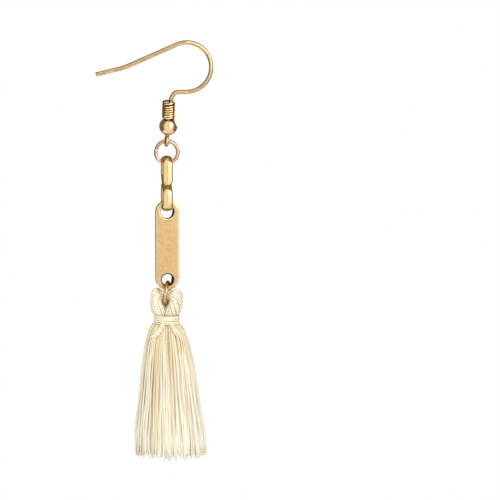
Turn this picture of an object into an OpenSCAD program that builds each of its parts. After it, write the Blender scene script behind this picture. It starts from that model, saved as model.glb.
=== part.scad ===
// Drop earring: a fish-hook ear wire with a coil and a bead, a jump ring, an S link,
// a flat bar with two holes, a second jump ring and a cotton tassel folded over it.
// The origin is the middle of the wire at the top of the hook, where it sits in the ear.
// X runs along the hook, Y from front to back and Z up. Lengths are in millimetres.

/* [Ear hook] */
// Diameter of the ear wire
wire_d = 0.7; // [0.6:0.05:0.8]
// Radius of the bend that hangs in the ear, at the middle of the wire
crown_r = 4.1; // [3.5:0.05:5]
// Slope of the long leg that goes behind the ear, in degrees
leg_slope = 23; // [15:1:30]
// Straight length of the long leg
leg_run = 8.9; // [6:0.1:12]
// Turn of the leg's end towards the level, in degrees
tip_turn = 10; // [4:1:14]
// Straight length of the leg's free end
tip_run = 4.2; // [2.5:0.1:6]
// Level run from the bottom of the bend towards the coil
shelf_run = 1.5; // [1:0.05:2.5]
// Radius of the bends that turn the wire down into the coil
kink_r = 0.8; // [0.6:0.05:1.2]
// Straight length between those bends
kink_run = 0.5; // [0.3:0.05:1.2]
// Sideways lean of the stem inside the coil, in degrees
side_lean = 4.5; // [0:0.5:8]
// Backward lean of the stem, in degrees
back_lean = 14; // [2:1:20]
// Radius of the eye under the bead, at the middle of its wire
eye_r = 0.72; // [0.7:0.01:0.9]
// Thickness of the wire where it is curled into the eye
eye_wire_d = 0.6; // [0.55:0.01:0.62]

/* [Coil and bead] */
// Diameter of the wire that the coil is wound from
coil_wire_d = 0.38; // [0.32:0.01:0.4]
// Outer diameter of the coil
coil_d = 2.15; // [2.1:0.05:2.5]
// Number of turns
coil_turns = 7; // [5:1:9]
// How far the coil hangs to the side of the stem
coil_shift = 0.22; // [0:0.01:0.26]
// Diameter of the bead
bead_d = 3; // [2.8:0.1:3.6]
// Diameter of the bead's bore
bead_bore_d = 0.84; // [0.82:0.01:0.95]

/* [Jump rings] */
// Outer diameter of the two jump rings
ring_d = 4.3; // [4.2:0.1:5]
// Diameter of their wire
ring_wire_d = 0.6; // [0.5:0.02:0.62]
// Width of the cut where a ring was closed
ring_cut = 0.08; // [0.04:0.02:0.2]
// Turn of the lower ring about the vertical, in degrees
lower_ring_turn = -16; // [-24:1:0]

/* [S link] */
// Height of the link over both loops
link_h = 9.3; // [8.8:0.05:11]
// Width of the band that it is bent from
link_w = 1.7; // [1.4:0.05:1.75]
// Thickness of the band
link_t = 0.85; // [0.7:0.05:0.9]
// Clear depth inside each loop
loop_clear = 1.75; // [1.7:0.05:2]
// Radius of the bends at the ends of the stretch that crosses from back to front
cross_r = 0.8; // [0.5:0.05:1]

/* [Bar] */
// Width of the bar
bar_w = 3.95; // [3.8:0.05:5]
// Distance between the centres of its two holes
bar_pitch = 11.1; // [9:0.1:16]
// Thickness of the bar
bar_t = 1.05; // [0.8:0.05:1.1]
// Diameter of the upper hole
upper_hole_d = 2.5; // [2.4:0.05:2.6]
// Diameter of the lower hole
lower_hole_d = 2.3; // [2.1:0.05:2.6]
// Radius of the softened edges
bar_edge = 0.2; // [0.1:0.01:0.25]

/* [Tassel] */
// Height of the folded head above the binding
head_h = 4.5; // [4.3:0.1:5.5]
// Width of the folded head
head_w = 5.5; // [5.2:0.1:6.6]
// Depth of the folded head
head_depth = 4.2; // [4:0.1:5]
// Diameter of the neck inside the binding
neck_d = 3.75; // [3.5:0.05:4.2]
// Diameter of the thread that binds the neck
binding_thread_d = 0.35; // [0.3:0.01:0.44]
// Number of turns of that thread
binding_turns = 5; // [4:1:7]
// Length of the skirt below the binding
skirt_h = 22.4; // [16:0.2:30]
// Width of the skirt near its hem
skirt_w = 12.2; // [11:0.2:16]
// Depth of the skirt near its hem
skirt_depth = 9.6; // [8:0.2:12]
// Sideways drift of the hem from the neck
skirt_drift = 0.8; // [0:0.05:1.2]
// Number of locks round the skirt
lock_count = 24; // [18:1:30]

/* [Fit] */
// Gap between two pieces that hang in each other
hang_gap = 0.05; // [0.03:0.01:0.08]

/* [Hidden] */
$fn = 48;

gold = [0.8, 0.64, 0.4];
pale_gold = [0.9, 0.76, 0.52];
rose_gold = [0.76, 0.56, 0.42];
cotton = [0.94, 0.89, 0.76];
binding_cotton = [0.92, 0.86, 0.71];

// How far a circle of radius r falls away at a distance x from its top
function fall(r, x) = r - sqrt(r * r - x * x);

// A bent wire or band is a list of straight feeds, each followed by a bend.
FEED = 0;
BEND_R = 1;
BEND_TURN = 2;
kink_turn = 56;
tip_bend_r = 7;
tip_bend = [tip_run, tip_bend_r, tip_turn];
wire_bends = [
    tip_bend,
    [leg_run, crown_r, -180 - leg_slope],
    [shelf_run, kink_r, kink_turn],
    [kink_run, kink_r, 90 - kink_turn - side_lean]
];

// The point and heading after a feed and its bend, or a whole list of them, as [x, z, heading]
function after_feed(p, row) =
    let (side = sign(row[BEND_TURN]), r = side * row[BEND_R], to = p[2] + row[BEND_TURN])
    [p[0] + row[FEED] * cos(p[2]) + r * (sin(to) - sin(p[2])),
        p[1] + row[FEED] * sin(p[2]) - r * (cos(to) - cos(p[2])), to];
function path_end(rows, p, i = 0) =
    i == len(rows) ? p : path_end(rows, after_feed(p, rows[i]), i + 1);

// The wire starts at the leg's free end, placed so that the bend in the ear tops at the origin.
leg_reach = path_end([tip_bend, [leg_run, 0, 0]], [0, 0, leg_slope - tip_turn]);
wire_start = [-crown_r * sin(leg_slope), -crown_r * (1 - cos(leg_slope)), leg_slope - tip_turn]
    - [leg_reach[0], leg_reach[1], 0];

wire_r = wire_d / 2;
eye_wire_r = eye_wire_d / 2;
coil_wire_r = coil_wire_d / 2;
coil_r = coil_d / 2 - coil_wire_r;
coil_h = (coil_turns + 1) * coil_wire_d;
bead_r = bead_d / 2;

// Places along the stem, from the end of its last bend: the coil's top end, the bead, on
// which the coil stands, and the eye, which closes under the bead.
coil_headroom = 0.1;
coil_seat = sqrt(pow(bead_r + coil_wire_r + hang_gap, 2) - pow(coil_r - coil_shift, 2));
bead_along = coil_headroom + coil_h - coil_wire_r + coil_seat;
eye_along = bead_along + bead_r + hang_gap + eye_wire_r + eye_r;
stem_run = eye_along - eye_r;

bends_end = path_end(wire_bends, wire_start);
stem_heading = [cos(bends_end[2]), 0, sin(bends_end[2])];
stem_start = [bends_end[0], 0, bends_end[1]]
    + kink_r * (sin(back_lean) * stem_heading + (1 - cos(back_lean)) * [0, 1, 0]);
lean_bend = [0, kink_r, back_lean];
stem_dir = cos(back_lean) * stem_heading + sin(back_lean) * [0, 1, 0];
eye_at = stem_start + eye_along * stem_dir;

// The drop hangs plumb under the eye, each piece in the one above.
ring_wire_r = ring_wire_d / 2;
ring_r = ring_d / 2 - ring_wire_r;
ring_inner_r = ring_r - ring_wire_r;
eye_pin_z = eye_at[2] - eye_r;
upper_ring_z = eye_pin_z + eye_wire_r + hang_gap + ring_wire_r - ring_r;

// The link's band lies on the inside of the ring, where its rounded edges touch first.
link_flat = (link_w - link_t) / 2;
link_touch = link_flat + 0.35 * link_t / 2;
link_edge_rise = fall(link_t / 2, 0.35 * link_t / 2);
ring_pin_z = upper_ring_z - ring_r;
link_top_z = ring_pin_z + ring_wire_r + fall(ring_inner_r, link_touch) - link_edge_rise
    + hang_gap + link_t;
link_z = link_top_z - link_h / 2;
loop_r = (loop_clear + link_t) / 2;
loop_z = link_h / 2 - link_t / 2 - loop_r;
cross_slope = 45;
cross_run = (loop_r - cross_r * (1 - cos(cross_slope))) / sin(cross_slope);
strand_low = cross_run * cos(cross_slope) + cross_r * sin(cross_slope);

// The bar hangs with the edge of its upper hole on the inside of the link's lower loop.
upper_hole_r = upper_hole_d / 2;
lower_hole_r = lower_hole_d / 2;
bar_flat = bar_t / 2 - bar_edge;
loop_pin_z = link_z - loop_z;
upper_hole_z = loop_pin_z - loop_clear / 2 + fall(loop_clear / 2, bar_flat) + hang_gap
    + fall(upper_hole_r, link_touch) - link_edge_rise - upper_hole_r;
lower_hole_z = upper_hole_z - bar_pitch;
bar_low_z = lower_hole_z - bar_w / 2;

// The lower ring hangs with its wire on the bottom of the lower hole.
lower_pin_z = lower_hole_z - lower_hole_r + fall(ring_inner_r, bar_t / 2) + hang_gap
    + ring_wire_r;
lower_ring_z = lower_pin_z - ring_r;

// The head of the tassel is folded over the bottom of the lower ring, clear of the bar.
fold_low_z = lower_ring_z - ring_inner_r + 2 * hang_gap;
fold_high_z = bar_low_z - 3 * hang_gap;
head_shoulder = 0.55;
neck_top_z = fold_high_z + head_shoulder - head_h;
neck_r = neck_d / 2;
binding_h = binding_turns * binding_thread_d;
neck_low_z = neck_top_z - binding_h;

drop_at = [eye_at[0], eye_at[1], 0];

// The band of the link, with round edges, and one half of it for its round ends
module band_section(w, t) {
    square([w - t, t], center = true);
    for (side = [-1, 1]) translate([side * (w - t) / 2, 0]) circle(d = t);
}

module half_band_section(w, t) {
    translate([0, -t / 2]) square([(w - t) / 2, t]);
    translate([(w - t) / 2, 0]) intersection() {
        circle(d = t);
        translate([0, -t]) square([t, 2 * t]);
    }
}

// Carries its children to the end of a feed along +X and of the bend after it, in the XZ
// plane and upwards for a positive turn.
module carried(row) {
    side = sign(row[BEND_TURN]);
    translate([row[FEED], 0, side * row[BEND_R]]) rotate([0, -row[BEND_TURN], 0])
        translate([0, 0, -side * row[BEND_R]]) children();
}

// Sweeps a section, whose first axis lies along Y, through a feed and its bend
module swept(row) {
    r = row[BEND_R];
    turn = row[BEND_TURN];
    if (row[FEED] > 0) rotate([90, 0, 90]) linear_extrude(row[FEED]) children();
    if (turn != 0) translate([row[FEED], 0, sign(turn) * r]) rotate([90, 0, 0])
        rotate([0, 0, turn > 0 ? -90 : 90 + turn]) rotate_extrude(angle = abs(turn))
        translate([r, 0]) rotate([0, 0, 90]) children();
}

module bent_band(rows, w, t, i = 0) {
    if (i < len(rows)) {
        swept(rows[i]) band_section(w, t);
        carried(rows[i]) bent_band(rows, w, t, i + 1);
    }
}

// Puts its children at the end of the stem's bends, with +X along the wire and +Z to the back
module at_stem() {
    translate([bends_end[0], 0, bends_end[1]]) rotate([0, -bends_end[2], 0]) rotate([-90, 0, 0])
        children();
}

// Puts its children on the stem, with +Z up along it and +Y to the back
module on_stem(along) {
    at_stem() carried(lean_bend) translate([along, 0, 0]) rotate([90, 0, -90]) children();
}

// Joins a list of rings of points, the same number in each, into one closed solid
module skin(rings) {
    sides = len(rings[0]);
    last = len(rings) - 1;
    walls = [for (i = [0:last - 1], k = [0:sides - 1]) let (n = (k + 1) % sides)
        each [[i * sides + k, i * sides + n, (i + 1) * sides + k],
            [i * sides + n, (i + 1) * sides + n, (i + 1) * sides + k]]];
    ends = [[for (k = [sides - 1:-1:0]) k], [for (k = [0:sides - 1]) last * sides + k]];
    polyhedron([for (ring = rings) each ring], concat(walls, ends));
}

// The ear wire is one skin of rings from the leg to the eye, in frames of [point, along,
// across], where across stays level with the wire's sides.
WIRE_SIDES = 16;
BEND_STEP = 6.5;
wire_gauge = 0.99 * wire_r;

function flat_frame(p) = [[p[0], 0, p[1]], [cos(p[2]), 0, sin(p[2])], [0, 1, 0]];
function bend_frames(p, row) =
    let (steps = ceil(abs(row[BEND_TURN]) / BEND_STEP))
    [for (k = [0:steps]) flat_frame(after_feed(p, [row[FEED], row[BEND_R], row[BEND_TURN] * k / steps]))];
function wire_frames(rows, p, i = 0) =
    i == len(rows) ? [] : concat(bend_frames(p, rows[i]), wire_frames(rows, after_feed(p, rows[i]), i + 1));
function lean_frame(a) =
    [[bends_end[0], 0, bends_end[1]] + kink_r * (sin(a) * stem_heading + [0, 1 - cos(a), 0]),
        cos(a) * stem_heading + [0, sin(a), 0], [0, cos(a), 0] - sin(a) * stem_heading];
function moved(frame, along) = [frame[0] + along * frame[1], frame[1], frame[2]];
function wire_ring(frame, r) =
    let (up = cross(frame[1], frame[2]))
    [for (k = [0:WIRE_SIDES - 1]) let (a = 360 * k / WIRE_SIDES)
        frame[0] + r * (cos(a) * up + sin(a) * frame[2])];

// The ear wire: the free end, the leg, the bend in the ear, the stem and the eye
module ear_hook() {
    end_lap = 0.1;
    skin_lap = 0.6;
    cap_steps = 4;
    lean_steps = 3;
    eye_cut = 0.1;
    eye_open = asin((wire_r + eye_cut) / eye_r);
    start = moved(flat_frame(wire_start), tip_run - skin_lap);
    stem_end = moved(lean_frame(back_lean), stem_run);
    frames = concat([start], wire_frames(wire_bends, wire_start),
        [for (k = [1:lean_steps]) lean_frame(back_lean * k / lean_steps)]);
    cap = [for (k = [0:cap_steps]) let (a = 80 * k / cap_steps)
        wire_ring(moved(stem_end, wire_gauge * sin(a)), wire_gauge * cos(a))];
    color(gold) {
        translate([wire_start[0], 0, wire_start[1]]) rotate([0, 90 - wire_start[2], 0])
            cylinder(d = wire_d, h = tip_run - end_lap);
        skin(concat([for (frame = frames) wire_ring(frame, wire_gauge)], cap));
        on_stem(eye_along) rotate([0, 90, 0]) rotate([0, 0, 180])
            rotate_extrude(angle = 360 - eye_open) translate([eye_r, 0]) circle(d = eye_wire_d);
    }
}

// The coil: one wire wound in a helix, its turns side by side
function helix_ring(a, sides, gauge) =
    [for (k = [0:sides - 1]) let (b = 360 * k / sides, r = coil_r + gauge * cos(b))
        [r * cos(a), r * sin(a), coil_wire_d * a / 360 + gauge * sin(b)]];

module hook_coil() {
    steps = 18;
    sides = 8;
    gauge = 0.96 * coil_wire_r;
    first_turn = 35;
    foot = bead_along - coil_seat;
    color(gold) on_stem(foot) translate([-coil_shift, 0, 0]) rotate([0, 0, first_turn])
        skin([for (i = [0:steps * coil_turns]) helix_ring(360 * i / steps, sides, gauge)]);
}

module hook_bead() {
    color(gold) on_stem(bead_along) difference() {
        sphere(r = bead_r);
        cylinder(d = bead_bore_d, h = 2 * bead_d, center = true);
    }
}

// A jump ring in the XZ plane round the origin, with its cut at the angle cut_at
module jump_ring(cut_at) {
    half_cut = asin(ring_cut / 2 / ring_r);
    rotate([90, 0, 0]) rotate([0, 0, cut_at + half_cut])
        rotate_extrude(angle = 360 - 2 * half_cut) translate([ring_r, 0]) circle(d = ring_wire_d);
}

module upper_ring() {
    cut_at = 165;
    color(rose_gold) translate(drop_at + [0, 0, upper_ring_z]) jump_ring(cut_at);
}

module lower_ring() {
    cut_at = 178;
    color(rose_gold) translate(drop_at + [0, 0, lower_ring_z])
        rotate([0, 0, 90 + lower_ring_turn]) jump_ring(cut_at);
}

// Half of the link, from the middle of the crossing to the back strand, over the upper loop
// and down the front to the round end, which closes on the crossing. The other half is the
// same, turned about the link's width.
module link_half() {
    end_low = ((link_t / 2 + hang_gap) / cos(cross_slope) - loop_clear / 2) / tan(cross_slope);
    bends = [
        [cross_run, cross_r, cross_slope],
        [loop_z - strand_low, loop_r, 180]
    ];
    front = [loop_z - end_low - link_w / 2, 0, 0];
    rotate([0, -cross_slope, 0]) {
        bent_band(bends, link_w, link_t);
        carried(bends[0]) carried(bends[1]) {
            bent_band([front], link_w, link_t);
            carried(front) rotate([0, 0, -90]) rotate_extrude(angle = 180)
                half_band_section(link_w, link_t);
        }
    }
}

module s_link() {
    color(pale_gold) translate(drop_at + [0, 0, link_z]) rotate([0, 0, 90]) {
        link_half();
        rotate([0, 180, 0]) link_half();
    }
}

// The bar's section across its width, with softened edges, and one half of it
module bar_section() {
    square([bar_w - 2 * bar_edge, bar_t], center = true);
    for (side = [0, 1]) mirror([side, 0]) bar_edge_section();
}

module half_bar_section() {
    translate([0, -bar_t / 2]) square([bar_w / 2 - bar_edge, bar_t]);
    bar_edge_section();
}

module bar_edge_section() {
    translate([bar_w / 2 - bar_edge, -bar_flat]) square([bar_edge, 2 * bar_flat]);
    for (side = [0, 1]) mirror([0, side]) translate([bar_w / 2 - bar_edge, bar_flat])
        intersection() {
            circle(r = bar_edge);
            square(bar_edge);
        }
}

// A hole along Y with both of its mouths eased
module eased_hole(r) {
    rotate([90, 0, 0]) rotate_extrude() polygon([
        [0, -bar_t], [r + bar_edge, -bar_t], [r + bar_edge, -bar_t / 2], [r, -bar_flat],
        [r, bar_flat], [r + bar_edge, bar_t / 2], [r + bar_edge, bar_t], [0, bar_t]
    ]);
}

module bar() {
    color(pale_gold) translate(drop_at + [0, 0, lower_hole_z]) difference() {
        union() {
            linear_extrude(bar_pitch) bar_section();
            rotate([-90, 0, 0]) rotate_extrude(angle = 180) half_bar_section();
            translate([0, 0, bar_pitch]) rotate([90, 0, 0]) rotate_extrude(angle = 180)
                half_bar_section();
        }
        eased_hole(lower_hole_r);
        translate([0, 0, bar_pitch]) eased_hole(upper_hole_r);
    }
}

// The head's bundle of threads, from the neck up one side to the fold. A row holds the inner
// and the outer edge of the bundle, across as a share of half the head's width and up as a
// share of its height, and half the bundle's depth as a share of half the head's depth.
IN_X = 0;
IN_Z = 1;
OUT_X = 2;
OUT_Z = 3;
DEPTH = 4;
head_rows = [
    [0.05, -0.06, 0.58, -0.06, 0.64],
    [0.03, 0.02, 0.67, 0.02, 0.72],
    [0.08, 0.13, 0.84, 0.13, 0.92],
    [0.15, 0.30, 0.97, 0.32, 1.00],
    [0.20, 0.45, 1.00, 0.55, 1.00],
    [0.20, 0.51, 0.94, 0.80, 0.93],
    [0.18, 0.53, 0.70, 0.97, 0.82],
    [0.12, 0.52, 0.42, 0.90, 0.66]
];
fold_depth_share = 0.5;
head_strands = 11;
strand_groove = 0.1;

// The bundle's edges on one side of the ring, 1 or -1, as [inner, outer, half depth]
function head_edges(row, side) =
    [[side * row[IN_X] * head_w / 2, row[IN_Z] * head_h],
        [side * row[OUT_X] * head_w / 2, row[OUT_Z] * head_h], row[DEPTH] * head_depth / 2];
head_fold = [[0, fold_low_z - neck_top_z], [0, fold_high_z - neck_top_z],
    fold_depth_share * head_depth / 2];
head_path = concat([for (row = head_rows) head_edges(row, -1)], [head_fold],
    [for (i = [len(head_rows) - 1:-1:0]) head_edges(head_rows[i], 1)]);
function head_ring(edges) =
    let (middle = (edges[0] + edges[1]) / 2, across = (edges[1] - edges[0]) / 2)
    [for (k = [0:2 * head_strands - 1])
        let (a = 180 * k / head_strands, s = k % 2 == 0 ? 1 : 1 - strand_groove,
            p = middle + s * cos(a) * across)
        [p[0], s * sin(a) * edges[2], p[1]]];

// The skirt's spread below the binding: a row holds how far down it is, as a share of the
// skirt's length, its width and depth, as shares of the greatest ones, and the depth of the
// grooves between the locks, as a share of a lock's width at the hem.
DOWN = 0;
SPREAD = 1;
GROOVE = 2;
skirt_rows = [
    [0.015, 0.40, 0.15],
    [0.05, 0.50, 0.30],
    [0.11, 0.59, 0.35],
    [0.21, 0.68, 0.40],
    [0.36, 0.76, 0.45],
    [0.54, 0.84, 0.55],
    [0.72, 0.92, 0.65],
    [0.87, 1.00, 0.75],
    [1.00, 0.96, 0.80]
];
lock_pitch = PI * (skirt_w + skirt_depth) / 2 / lock_count;

// Each lock has its own sway, length and stand, in a fixed order without a pattern to see.
function lock_sway(k) = 0.28 * sin(137.5 * k);
function lock_length(k) = 1 - 0.03 * (1 + sin(222.5 * k));
function lock_stand(k) = 0.14 * sin(83 * k);

// Across a lock: how far along its width a point lies, and how deep in the groove
LOCK_SHARES = [0, 0.2, 0.5, 0.8];
LOCK_SINK = [1, 0.18, 0, 0.18];
notch = 0.035;

function lock_point(row, k, j) =
    let (down = row[DOWN], n = (k + 1) % lock_count, low = (k + lock_count - 1) % lock_count,
        at = k + lock_sway(k) * down + LOCK_SHARES[j] * (1 + (lock_sway(n) - lock_sway(k)) * down),
        a = 360 * at / lock_count,
        sink = lock_pitch * (row[GROOVE] * LOCK_SINK[j] - lock_stand(k) * down * (j == 0 ? 0 : 1)),
        reach = j == 0 ? min(lock_length(k), lock_length(low)) - notch * down : lock_length(k))
    [(row[SPREAD] * skirt_w / 2 - sink) * cos(a) + skirt_drift * down,
        (row[SPREAD] * skirt_depth / 2 - sink) * sin(a), -down * skirt_h * reach];
function lock_ring(row) =
    [for (k = [0:lock_count - 1], j = [0:len(LOCK_SHARES) - 1]) lock_point(row, k, j)];
function plain_ring(z, w, depth, drift = 0) =
    let (count = lock_count * len(LOCK_SHARES))
    [for (k = [0:lock_count - 1], j = [0:len(LOCK_SHARES) - 1])
        let (a = 360 * (k + LOCK_SHARES[j]) / lock_count)
        [w / 2 * cos(a) + drift, depth / 2 * sin(a), z]];

module tassel_head() {
    rotate([0, 0, lower_ring_turn]) skin([for (edges = head_path) head_ring(edges)]);
}

// The neck and the skirt, hollowed a little under the hem, where the threads end unevenly
module tassel_skirt() {
    hollow_z = -0.93 * skirt_h;
    skin(concat(
        [plain_ring(binding_h, neck_d, neck_d), plain_ring(-hang_gap, neck_d, neck_d)],
        [for (row = skirt_rows) lock_ring(row)],
        [plain_ring(hollow_z, 0.72 * skirt_w, 0.72 * skirt_depth, skirt_drift),
            plain_ring(hollow_z, 0.3 * skirt_w, 0.3 * skirt_depth, skirt_drift)]
    ));
}

module tassel() {
    color(cotton) translate(drop_at + [0, 0, neck_low_z]) {
        tassel_skirt();
        translate([0, 0, binding_h]) tassel_head();
    }
}

// The binding: turns of thread laid side by side round the neck
module tassel_binding() {
    turn_r = neck_r + hang_gap + binding_thread_d / 2;
    color(binding_cotton) translate(drop_at + [0, 0, neck_low_z]) rotate_extrude() {
        translate([neck_r + hang_gap, 0]) square([binding_thread_d / 2, binding_h]);
        for (i = [0:binding_turns - 1])
            translate([turn_r, (i + 0.5) * binding_thread_d]) circle(d = binding_thread_d);
    }
}

ear_hook();
hook_coil();
hook_bead();
upper_ring();
s_link();
bar();
lower_ring();
tassel();
tassel_binding();
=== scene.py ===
# %% [markdown]
# # A tassel drop earring
# The earring hangs from a fish-hook ear wire. Below the hook come a jump ring, an S link, a flat
# bar with two holes, a second jump ring and a tassel of cotton thread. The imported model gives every
# piece its place. This notebook gives each piece its real surface: round drawn wire, plated metal
# and several hundred twisted threads.

import math

import bmesh
import bpy
import numpy as np
from mathutils import Matrix, Vector


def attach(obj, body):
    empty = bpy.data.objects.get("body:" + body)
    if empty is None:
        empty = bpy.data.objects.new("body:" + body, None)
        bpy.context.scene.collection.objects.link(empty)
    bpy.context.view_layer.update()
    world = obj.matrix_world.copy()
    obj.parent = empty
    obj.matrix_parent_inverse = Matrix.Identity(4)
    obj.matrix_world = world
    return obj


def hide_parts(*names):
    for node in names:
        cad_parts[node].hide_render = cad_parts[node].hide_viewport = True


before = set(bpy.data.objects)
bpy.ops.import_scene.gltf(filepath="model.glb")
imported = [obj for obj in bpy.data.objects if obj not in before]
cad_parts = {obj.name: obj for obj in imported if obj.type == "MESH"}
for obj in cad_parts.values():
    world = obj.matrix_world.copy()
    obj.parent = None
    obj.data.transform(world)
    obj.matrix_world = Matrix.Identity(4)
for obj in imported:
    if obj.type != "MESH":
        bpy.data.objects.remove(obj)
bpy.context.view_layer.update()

# %% [markdown]
# ## Node trees written as sums
# Surroundings, finishes, wires and threads all come from trees of nodes. Trees get long when every
# sum is a box on a canvas, so a small helper lets a field be added, multiplied and bent with sines
# in ordinary Python, and lays the Math nodes itself.

# %% Fields that can be calculated with
class Field:
    """One socket of a tree. Sums on it become Math nodes."""

    def __init__(self, tree, socket):
        self.tree, self.socket = tree, socket

    def math(self, operation, *others):
        return build(self.tree, "ShaderNodeMath", self, *others, operation=operation)

    def __add__(self, other):
        return self.math("ADD", other)

    def __sub__(self, other):
        return self.math("SUBTRACT", other)

    def __mul__(self, other):
        return self.math("MULTIPLY", other)

    def __truediv__(self, other):
        return self.math("DIVIDE", other)

    def sin(self):
        return self.math("SINE")

    def cos(self):
        return self.math("COSINE")

    def into(self, socket):
        """Links the field to a socket."""
        self.tree.links.new(self.socket, socket)


def build(tree, kind, *values, out=0, named=None, **settings):
    """Adds a node, sets its properties and fills its sockets, in order or by name. Out is the
    number or the name of the output that it gives as a field."""
    node = tree.nodes.new(kind)
    for key, value in settings.items():
        setattr(node, key, value)
    free = [socket for socket in node.inputs if socket.enabled]
    pairs = list(zip(free, values))
    for key, value in (named or {}).items():
        pairs.append((next(socket for socket in free if socket.name == key), value))
    for socket, value in pairs:
        if isinstance(value, Field):
            value.into(socket)
        elif value is not None:
            socket.default_value = value
    given = [socket for socket in node.outputs if socket.enabled]
    return Field(tree, next(s for number, s in enumerate(given) if out in (number, s.name)))


def mixed(tree, share, first, second, blend="MIX"):
    """The second colour laid over the first."""
    return build(tree, "ShaderNodeMix", share, first, second, data_type="RGBA", blend_type=blend)


def ramp(tree, source, stops):
    """Colours between stops of (position, colour), picked by a number."""
    picked = build(tree, "ShaderNodeValToRGB", source)
    elements = picked.socket.node.color_ramp.elements
    while len(elements) < len(stops):
        elements.new(0.5)
    for element, (position, colour) in zip(elements, stops):
        element.position, element.color = position, colour
    return picked


# %% [markdown]
# ## Camera, light and paper
# A small shiny thing is photographed with a long lens, so that it keeps its proportions, and on
# white paper. Metal shows what surrounds it. In front and behind it sees pale cloth, and to the
# sides, above and below a darker room, which draws the dark lines along both edges of a wire. A
# slit in the cloth for the camera draws the thin dark line along the middle of rounded metal. Soft
# panels add the highlights and light the cotton more from the right, and one below keeps the hem
# of the tassel pale.
# All sizes here are in millimetres, and each finished mesh is scaled to metres once.

# %% Camera
MM = 0.001
PIXEL = 0.165
FRAME_W = 500 * PIXEL
LENS, SENSOR = 250, 36
HOOK_TOP = (186.5, 42.4)
LOOK_TURN, LOOK_DOWN = math.radians(-8), math.radians(8)


def added(name, data):
    """A new object in the scene."""
    obj = bpy.data.objects.new(name, data)
    bpy.context.scene.collection.objects.link(obj)
    return obj


level = Vector((-math.sin(LOOK_TURN), math.cos(LOOK_TURN), 0))
right = Vector((level.y, -level.x, 0))
look = math.cos(LOOK_DOWN) * level - math.sin(LOOK_DOWN) * Vector((0, 0, 1))
above = right.cross(look)
middle = (right * (250 - HOOK_TOP[0]) - above * (250 - HOOK_TOP[1])) * PIXEL
camera = added("camera", bpy.data.cameras.new("camera"))
camera.data.lens, camera.data.sensor_width = LENS, SENSOR
camera.data.clip_start, camera.data.clip_end = 0.01, 10
camera.location = (middle - look * FRAME_W * LENS / SENSOR) * MM
camera.rotation_euler = look.to_track_quat("-Z", "Y").to_euler()
bpy.context.scene.camera = camera
print("camera stands", round(FRAME_W * LENS / SENSOR), "mm away")

# %% Lamps
LAMP_AIM = Vector((-3, 2, -35))


def lamp(name, place, size, power, glints=True):
    """A soft round panel that faces the middle of the earring."""
    obj = added(name, bpy.data.lights.new(name, "AREA"))
    obj.data.shape, obj.data.size, obj.data.energy = "DISK", size * MM, power
    obj.visible_camera, obj.visible_glossy = False, glints
    obj.location = Vector(place) * MM
    obj.rotation_euler = (LAMP_AIM - Vector(place)).to_track_quat("-Z", "Y").to_euler()


lamp("key_panel", (230, -330, 125), 400, 0.84)
lamp("fill_panel", (-330, -330, 60), 240, 0.76, glints=False)
lamp("low_panel", (-40, -260, -330), 260, 0.36, glints=False)
lamp("top_panel", (-40, -60, 420), 260, 0.45, glints=False)
lamp("top_card", (-10, -110, 330), 300, 0.15)
lamp("rim_panel", (300, 300, 60), 200, 0.45)
lamp("left_rim_panel", (-300, 260, 40), 200, 0.60, glints=False)
lamp("back_panel", (0, 380, 80), 300, 0.60, glints=False)

# %% Surroundings and floor
# Brightness against the share of the direction that points to the back
TENT = [(-1.0, 1.42), (-0.72, 1.42), (-0.50, 1.06), (-0.26, 0.24), (0.30, 0.20), (0.62, 0.32),
        (1.0, 0.50)]
# Brightness against the share that points to the right
CAMERA_STRIP = [(-1.0, 0.80), (-0.3, 0.86), (-0.05, 0.90), (-0.02, 0.40), (0.085, 0.40),
                (0.12, 1.04), (1.0, 1.10)]
FLOOR_R, FLOOR_Z = 220, -200

world = bpy.data.worlds.new("studio")
bpy.context.scene.world = world
world.use_nodes = True
room = world.node_tree
room.nodes.clear()


def greys(axis, stops):
    """Greys at positions from -1 to 1 along one axis of the direction."""
    direction = build(room, "ShaderNodeTexCoord", out="Generated")
    share = build(room, "ShaderNodeSeparateXYZ", direction, out=axis)
    return ramp(room, build(room, "ShaderNodeMapRange", share, -1),
                [((at + 1) / 2, (grey, grey * 0.985, grey * 0.96, 1)) for at, grey in stops])


cloth = build(room, "ShaderNodeBackground",
              mixed(room, 1, greys("Y", TENT), greys("X", CAMERA_STRIP), "MULTIPLY"))
paper = build(room, "ShaderNodeBackground", (1, 1, 1, 1))
from_camera = build(room, "ShaderNodeLightPath", out="Is Camera Ray")
seen = build(room, "ShaderNodeMixShader", from_camera, cloth, paper)
seen.into(room.nodes.new("ShaderNodeOutputWorld").inputs["Surface"])
bpy.context.scene.view_settings.view_transform = "Standard"

floor_mesh = bpy.data.meshes.new("floor")
shape = bmesh.new()
bmesh.ops.create_circle(shape, cap_ends=True, segments=96, radius=FLOOR_R * MM)
bmesh.ops.translate(shape, verts=shape.verts, vec=(0, 0, FLOOR_Z * MM))
shape.to_mesh(floor_mesh)
shape.free()
floor = added("floor", floor_mesh)

# %% [markdown]
# ## Finishes
# The metal is steel or brass with a thin plated skin. Plating is never one flat colour: it darkens
# where fingers leave it alone, it has a fine orange-peel ripple, and small specks of grain lie on it.
# One recipe makes all seven metals, with two colours, a roughness and the strength of its ripple.
# On the coil and the bar it also lays painted shade, and on the bar painted highlights.
# Cotton is matt and slightly fuzzy. Its own shade changes from thread to thread, which each thread
# carries as a number, and short darker flecks follow its fibres. The number also carries painted
# shade on the deeper threads and painted light towards the hem, and the grooves between threads get
# painted shade.

# %% Material helpers
def srgb(red, green, blue):
    """A colour as a screen shows it, from 11 up, in the linear numbers that a shader wants."""
    return tuple(((c / 255 + 0.055) / 1.055) ** 2.4 for c in (red, green, blue)) + (1,)


def material(name):
    """An empty material with its tree and its main shader."""
    made = bpy.data.materials.new(name)
    made.use_nodes = True
    return made, made.node_tree, made.node_tree.nodes["Principled BSDF"]


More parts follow.
